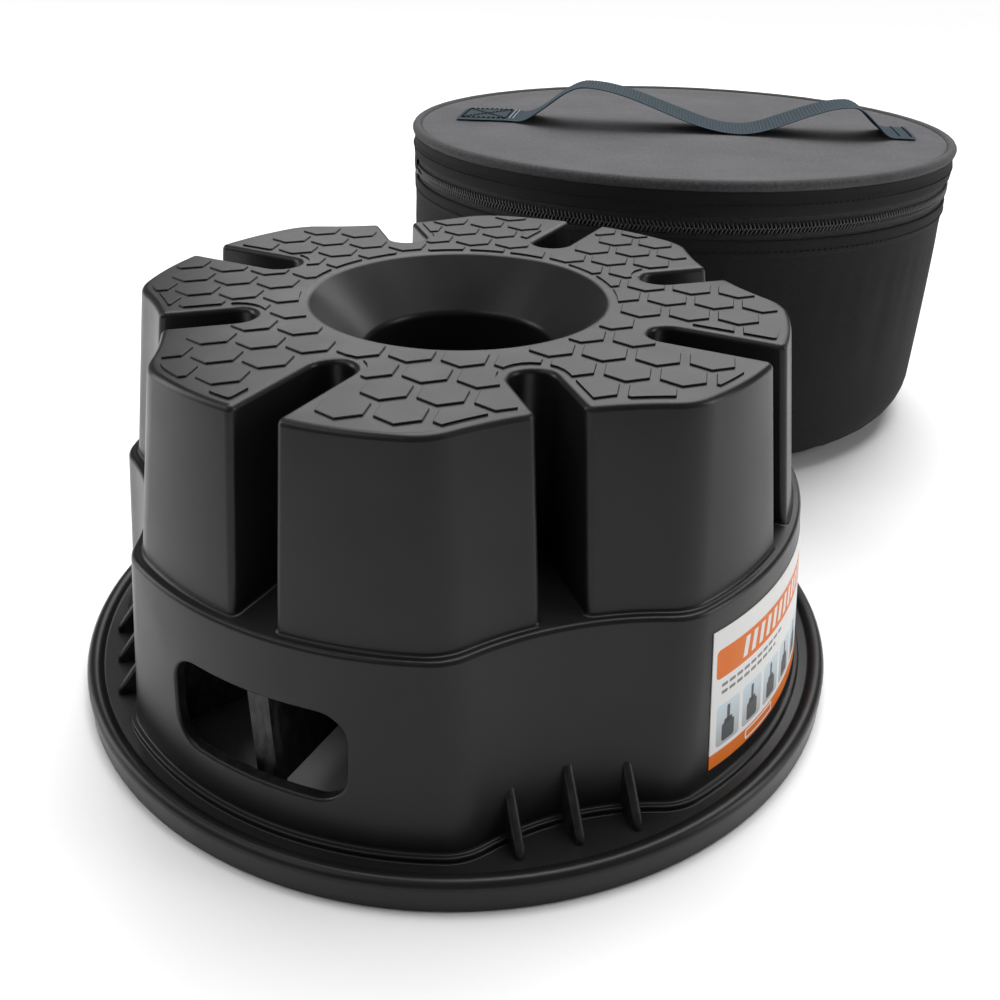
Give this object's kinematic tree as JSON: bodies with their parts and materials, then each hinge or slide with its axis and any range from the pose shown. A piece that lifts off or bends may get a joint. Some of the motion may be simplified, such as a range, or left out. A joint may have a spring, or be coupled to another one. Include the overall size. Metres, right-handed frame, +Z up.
{
  "type": "leveling block set",
  "caption": "Hollow ribbed round jack block with flanged base, slotted patterned deck and dished socket, and the round padded bag with zipped lid and webbing handle that carries it.",
  "frame": {"origin": "centre of the block's underside, on the ground", "axes": "+Z up; -Y is the side of the block with the front hand hole, +X the side with the label; the bag stands behind the block on the +Y side"},
  "size_m": [0.3363, 0.6198, 0.1797],
  "materials": {
    "block_plastic": "black moulded polypropylene, fine satin texture",
    "label_film": "printed vinyl film, white with orange bands",
    "bag_fabric": "charcoal coated polyester canvas, fine weave",
    "bag_foam": "grey padding foam",
    "bag_board": "dark stiffening board",
    "bag_lining": "thin dark lining cloth",
    "piping": "fabric bead round a cord",
    "piping_cord": "cotton cord inside the bead",
    "zip_tape": "woven zip tape, black",
    "zip_chain": "nylon coil, black",
    "zip_metal": "black enamelled zinc alloy",
    "webbing": "blue-black nylon webbing, cross-ribbed, slight sheen",
    "thread": "blue-grey sewing thread"
  },
  "bodies": {
    "block": {"block_body": "block_plastic", "block_label": "label_film"},
    "bag_shell": {"bag_side_outer": "bag_fabric", "bag_side_foam": "bag_foam", "bag_side_lining": "bag_lining", "bag_base_outer": "bag_fabric", "bag_base_board": "bag_board", "bag_base_lining": "bag_lining", "hinge_panel": "bag_fabric", "zip_tape_lower": "zip_tape", "zip_chain_lower": "zip_chain", "zip_end_stops": "zip_metal"},
    "bag_lid": {"lid_top_outer": "bag_fabric", "lid_foam": "bag_foam", "lid_lining": "bag_lining", "lid_band": "bag_fabric", "lid_band_foam": "bag_foam", "lid_piping": "piping", "lid_piping_cord": "piping_cord", "zip_tape_upper": "zip_tape", "zip_chain_upper": "zip_chain", "handle_webbing": "webbing", "handle_thread": "thread", "handle_patches": "bag_lining"},
    "slider": {"zip_slider": "zip_metal"},
    "pull": {"zip_pull": "zip_metal"}
  },
  "joints": [
    {"name": "bag_move", "type": "slide", "parent": "block", "child": "bag_shell", "axis": [0, 1, 0], "range_m": [0, 0.25]},
    {"name": "lid_hinge", "type": "hinge", "parent": "bag_shell", "child": "bag_lid", "pos_m": [-0.17474, 0.26302, 0.136], "axis": [0.309, -0.9511, 0], "range_deg": [0, 135]},
    {"name": "zip_travel", "type": "hinge", "parent": "bag_shell", "child": "slider", "pos_m": [-0.024, 0.312, 0.136], "axis": [0, 0, 1], "range_deg": [-314, 0]},
    {"name": "pull_swing", "type": "hinge", "parent": "slider", "child": "pull", "pos_m": [-0.18399, 0.326, 0.136], "axis": [0, 0, 1], "range_deg": [0, 100]}
  ]
}
